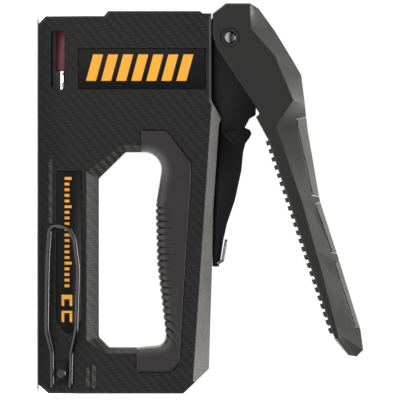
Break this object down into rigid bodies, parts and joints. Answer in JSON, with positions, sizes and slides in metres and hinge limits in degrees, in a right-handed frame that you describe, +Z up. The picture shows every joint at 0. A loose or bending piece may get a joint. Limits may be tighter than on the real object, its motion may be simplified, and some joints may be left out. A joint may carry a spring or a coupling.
{
  "type": "staple gun",
  "caption": "Hand-operated staple gun with a composite body, a D-shaped hand hole with a ribbed rubber grip, a sprung lever on the head, a sliding magazine and a belt hook.",
  "frame": {"origin": "where the nose plane, the base plane and the parting plane meet, at the staple outlet's corner of the nose", "axes": "+X to the rear along the base, +Y to the right-hand side, +Z up from the base towards the lever"},
  "size_m": [0.1954, 0.0401, 0.1628],
  "materials": {
    "composite": "satin moulded composite with a woven fibre pattern",
    "grip_rubber": "matte ribbed rubber",
    "label_panel": "matte black panel with printed yellow bars",
    "lever_composite": "fine-grained matte moulding",
    "palm_pad": "soft matte pad",
    "tread_rubber": "black rubber",
    "bright_steel": "ground steel",
    "plated_steel": "zinc-plated steel",
    "spring_steel": "drawn spring wire",
    "black_plastic": "black moulding",
    "black_wire": "glossy black coated wire",
    "black_steel": "blackened sheet steel",
    "black_screw": "black oxide",
    "pusher_maroon": "dark red moulding"
  },
  "bodies": {
    "body": {"left_shell": "composite", "right_shell": "composite", "grip_rubber_left": "grip_rubber", "grip_rubber_right": "grip_rubber", "badge_plate": "label_panel", "info_plate": "label_panel", "pivot_washers": "bright_steel", "lever_return_spring": "spring_steel", "neck_frame": "black_plastic", "lift_arm_pin": "bright_steel", "main_spring": "spring_steel", "spring_seat": "plated_steel", "striker_bumper": "tread_rubber", "nose_plate": "plated_steel", "magazine_channel": "black_steel", "magazine_catch": "spring_steel", "belt_hook": "black_wire", "hook_clamp": "black_plastic", "hook_screw": "black_screw", "shell_screws": "black_screw"},
    "lever": {"lever": "lever_composite", "palm_pad_front": "palm_pad", "palm_pad_middle": "palm_pad", "palm_pad_rear": "palm_pad", "lever_tread": "tread_rubber", "lever_pivot_pin": "bright_steel", "drive_arm": "plated_steel", "drive_roller": "bright_steel", "roller_pin": "bright_steel", "lock_catch": "plated_steel"},
    "lift_arm": {"lift_arm": "plated_steel"},
    "striker": {"striker_blade": "bright_steel", "striker_carrier": "plated_steel", "blade_rivets": "bright_steel"},
    "magazine": {"magazine_rail": "black_steel", "magazine_end_cap": "black_plastic", "guide_rod": "bright_steel", "pusher_spring": "spring_steel"},
    "pusher": {"pusher": "pusher_maroon"},
    "bail": {"lock_bail": "black_wire"}
  },
  "joints": [
    {"name": "lever_pivot", "type": "hinge", "parent": "body", "child": "lever", "pos_m": [0.0106, 0, 0.0961], "axis": [0, 1, 0], "range_deg": [0, 20], "stiffness_Nm_per_rad": 0.6, "springref_deg": -34.38, "deforming": ["lever_return_spring"]},
    {"name": "lift_arm_pivot", "type": "hinge", "parent": "body", "child": "lift_arm", "pos_m": [0.025, 0, 0.076], "axis": [0, 1, 0], "range_deg": [0, 38]},
    {"name": "striker_slide", "type": "slide", "parent": "body", "child": "striker", "axis": [0, 0, 1], "range_m": [0, 0.0116], "deforming": ["main_spring"]},
    {"name": "magazine_slide", "type": "slide", "parent": "body", "child": "magazine", "axis": [1, 0, 0], "range_m": [0, 0.11], "deforming": ["magazine_catch"]},
    {"name": "pusher_slide", "type": "slide", "parent": "magazine", "child": "pusher", "axis": [1, 0, 0], "range_m": [0, 0.1], "stiffness_N_per_m": 30, "springref_m": -0.07, "deforming": ["pusher_spring"]},
    {"name": "bail_hinge", "type": "hinge", "parent": "body", "child": "bail", "pos_m": [0.124, 0, 0.0893], "axis": [0, 1, 0], "range_deg": [0, 64]}
  ],
  "couplings": [
    {"joint": "lift_arm_pivot", "follows": "lever_pivot", "ratio": 1.85},
    {"joint": "striker_slide", "follows": "lever_pivot", "m_per_rad": 0.033}
  ]
}
